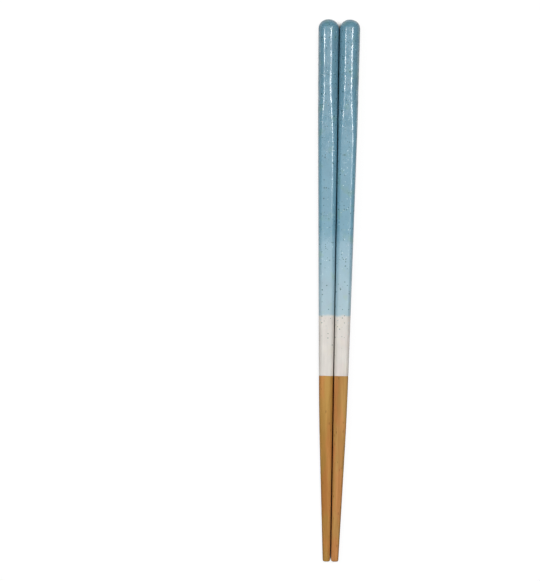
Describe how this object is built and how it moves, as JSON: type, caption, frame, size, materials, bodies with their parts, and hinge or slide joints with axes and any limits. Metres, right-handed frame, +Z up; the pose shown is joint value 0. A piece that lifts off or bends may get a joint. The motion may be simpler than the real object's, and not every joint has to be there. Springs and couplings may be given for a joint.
{
  "type": "pair of chopsticks",
  "caption": "Pair of tapered wooden chopsticks with rounded square sections, domed butts, glossy lacquer fading from blue to white, and bare wood tips, lying side by side.",
  "frame": {"origin": "middle of the pair on the surface that it lies on", "axes": "+Y along the sticks towards their butts, +X across the pair, +Z up from the surface"},
  "size_m": [0.0174, 0.225, 0.0085],
  "materials": {
    "lacquered_wood": "gloss lacquer over bare wood tips"
  },
  "bodies": {
    "root": {"left_chopstick": "lacquered_wood", "right_chopstick": "lacquered_wood"}
  },
  "joints": []
}
